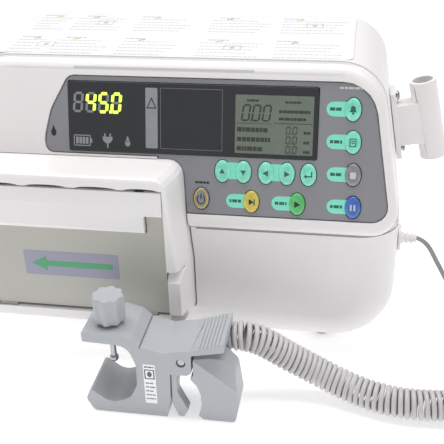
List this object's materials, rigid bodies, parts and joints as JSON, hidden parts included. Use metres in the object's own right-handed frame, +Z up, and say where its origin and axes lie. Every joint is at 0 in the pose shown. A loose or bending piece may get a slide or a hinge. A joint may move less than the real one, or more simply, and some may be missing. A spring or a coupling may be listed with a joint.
{
  "type": "infusion pump",
  "caption": "Bench-top infusion pump: leaning keypad panel with a long display, drop-down pump door, side holder tube, and a drop sensor with a clamp screw on a curly cord.",
  "frame": {"origin": "middle of the pump's footprint, its side holder included, on the plane its feet stand on", "axes": "+X to the right seen from the front, +Y to the back, +Z up"},
  "size_m": [0.283, 0.146, 0.1497],
  "materials": {
    "housing": "satin warm white moulding",
    "panel_grey": "fine matte overlay",
    "lens": "glossy dark display window",
    "black_plastic": "matte black",
    "lcd": "grey-green display glass",
    "board": "green circuit board",
    "door_beige": "fine matte beige-grey",
    "steel": "plain steel",
    "rubber": "soft grey rubber",
    "battery": "shrink sleeve",
    "sensor_grey": "satin light grey moulding",
    "cord": "soft light grey sheath",
    "finger": "white slide plastic",
    "key_mint": "translucent mint",
    "key_yellow": "translucent yellow",
    "key_green": "translucent green",
    "key_blue": "translucent blue",
    "key_clear": "translucent clear grey"
  },
  "bodies": {
    "pump": {"rear_shell": "housing", "lower_front_cover": "housing", "front_bezel": "housing", "door_frame": "housing", "holder_bracket": "housing", "cord_gland": "housing", "keypad_panel": "panel_grey", "display_lens": "lens", "led_module": "black_plastic", "lcd_module": "lcd", "main_board": "board", "door_hinge_pin": "steel", "jaw_pin": "steel", "drive_motor": "steel", "holder_screw_upper": "steel", "holder_screw_lower": "steel", "finger_block": "black_plastic", "bearing_left": "black_plastic", "bearing_right": "black_plastic", "drive_belt": "rubber", "air_detector": "black_plastic", "mains_inlet": "black_plastic", "battery_pack": "battery", "sensor_body": "sensor_grey", "spring_arm": "sensor_grey", "cord_lead": "cord", "curly_cord": "cord", "foot_front_left": "rubber", "foot_front_right": "rubber", "foot_rear_left": "rubber", "foot_rear_right": "rubber"},
    "door": {"door_cover": "door_beige", "door_platen": "steel", "handle_pin": "steel"},
    "handle": {"door_handle": "housing"},
    "latch": {"door_latch": "housing"},
    "cams": {"camshaft": "steel", "cam_pulley": "black_plastic"},
    "motor_rotor": {"motor_pulley": "black_plastic"},
    "screw": {"clamp_screw": "steel"},
    "knob": {"clamp_knob": "sensor_grey"},
    "jaw": {"sensor_jaw": "sensor_grey"},
    "key_up": {"key_up": "key_mint"},
    "key_down": {"key_down": "key_mint"},
    "key_left": {"key_left": "key_mint"},
    "key_right": {"key_right": "key_mint"},
    "key_enter": {"key_enter": "key_mint"},
    "key_power": {"key_power": "key_clear"},
    "key_yellow": {"key_yellow": "key_yellow"},
    "key_green": {"key_green": "key_green"},
    "key_bell": {"key_bell": "key_mint"},
    "key_page": {"key_page": "key_mint"},
    "key_stop": {"key_stop": "key_clear"},
    "key_blue": {"key_blue": "key_blue"},
    "finger_1": {"finger_1": "finger"},
    "finger_2": {"finger_2": "finger"},
    "finger_3": {"finger_3": "finger"},
    "finger_4": {"finger_4": "finger"},
    "finger_5": {"finger_5": "finger"},
    "finger_6": {"finger_6": "finger"}
  },
  "joints": [
    {"name": "door_swing", "type": "hinge", "parent": "pump", "child": "door", "pos_m": [-0.0576, -0.0506, 0.0288], "axis": [1, 0, 0], "range_deg": [0, 30]},
    {"name": "handle_pull", "type": "hinge", "parent": "door", "child": "handle", "pos_m": [-0.0576, -0.0519, 0.0932], "axis": [-1, 0, 0], "range_deg": [0, 30], "stiffness_Nm_per_rad": 0.05},
    {"name": "latch_slide", "type": "slide", "parent": "pump", "child": "latch", "axis": [0, 0, -1], "range_m": [0, 0.006], "stiffness_N_per_m": 250},
    {"name": "motor_spin", "type": "hinge", "parent": "pump", "child": "motor_rotor", "pos_m": [-0.0125, 0.0045, 0.056], "axis": [1, 0, 0], "continuous": true},
    {"name": "cam_spin", "type": "hinge", "parent": "pump", "child": "cams", "pos_m": [-0.0521, -0.0195, 0.056], "axis": [1, 0, 0], "continuous": true},
    {"name": "knob_turn", "type": "hinge", "parent": "screw", "child": "knob", "pos_m": [-0.03, -0.0815, 0.052], "axis": [0, 0, 1], "range_deg": [0, 1440]},
    {"name": "screw_travel", "type": "slide", "parent": "pump", "child": "screw", "axis": [0, 0, 1], "range_m": [0, 0.005]},
    {"name": "jaw_open", "type": "hinge", "parent": "pump", "child": "jaw", "pos_m": [0.0036, -0.078, 0.031], "axis": [0, -1, 0], "range_deg": [0, 8], "stiffness_Nm_per_rad": 0.1},
    {"name": "press_up", "type": "slide", "parent": "pump", "child": "key_up", "axis": [0, 0.9703, -0.2419], "range_m": [0, 0.001], "stiffness_N_per_m": 400},
    {"name": "press_down", "type": "slide", "parent": "pump", "child": "key_down", "axis": [0, 0.9703, -0.2419], "range_m": [0, 0.001], "stiffness_N_per_m": 400},
    {"name": "press_left", "type": "slide", "parent": "pump", "child": "key_left", "axis": [0, 0.9703, -0.2419], "range_m": [0, 0.001], "stiffness_N_per_m": 400},
    {"name": "press_right", "type": "slide", "parent": "pump", "child": "key_right", "axis": [0, 0.9703, -0.2419], "range_m": [0, 0.001], "stiffness_N_per_m": 400},
    {"name": "press_enter", "type": "slide", "parent": "pump", "child": "key_enter", "axis": [0, 0.9703, -0.2419], "range_m": [0, 0.001], "stiffness_N_per_m": 400},
    {"name": "press_power", "type": "slide", "parent": "pump", "child": "key_power", "axis": [0, 0.9703, -0.2419], "range_m": [0, 0.001], "stiffness_N_per_m": 400},
    {"name": "press_yellow", "type": "slide", "parent": "pump", "child": "key_yellow", "axis": [0, 0.9703, -0.2419], "range_m": [0, 0.001], "stiffness_N_per_m": 400},
    {"name": "press_green", "type": "slide", "parent": "pump", "child": "key_green", "axis": [0, 0.9703, -0.2419], "range_m": [0, 0.001], "stiffness_N_per_m": 400},
    {"name": "press_bell", "type": "slide", "parent": "pump", "child": "key_bell", "axis": [0, 0.9703, -0.2419], "range_m": [0, 0.001], "stiffness_N_per_m": 400},
    {"name": "press_page", "type": "slide", "parent": "pump", "child": "key_page", "axis": [0, 0.9703, -0.2419], "range_m": [0, 0.001], "stiffness_N_per_m": 400},
    {"name": "press_stop", "type": "slide", "parent": "pump", "child": "key_stop", "axis": [0, 0.9703, -0.2419], "range_m": [0, 0.001], "stiffness_N_per_m": 400},
    {"name": "press_blue", "type": "slide", "parent": "pump", "child": "key_blue", "axis": [0, 0.9703, -0.2419], "range_m": [0, 0.001], "stiffness_N_per_m": 400},
    {"name": "finger_1_slide", "type": "slide", "parent": "pump", "child": "finger_1", "axis": [0, -1, 0], "range_m": [-0.0016, 0]},
    {"name": "finger_2_slide", "type": "slide", "parent": "pump", "child": "finger_2", "axis": [0, -1, 0], "range_m": [-0.0012, 0.0004]},
    {"name": "finger_3_slide", "type": "slide", "parent": "pump", "child": "finger_3", "axis": [0, -1, 0], "range_m": [-0.0004, 0.0012]},
    {"name": "finger_4_slide", "type": "slide", "parent": "pump", "child": "finger_4", "axis": [0, -1, 0], "range_m": [0, 0.0016]},
    {"name": "finger_5_slide", "type": "slide", "parent": "pump", "child": "finger_5", "axis": [0, -1, 0], "range_m": [-0.0004, 0.0012]},
    {"name": "finger_6_slide", "type": "slide", "parent": "pump", "child": "finger_6", "axis": [0, -1, 0], "range_m": [-0.0012, 0.0004]}
  ],
  "couplings": [
    {"joint": "motor_spin", "follows": "cam_spin", "ratio": 2},
    {"joint": "knob_turn", "follows": "screw_travel", "rad_per_m": 5026.5}
  ]
}
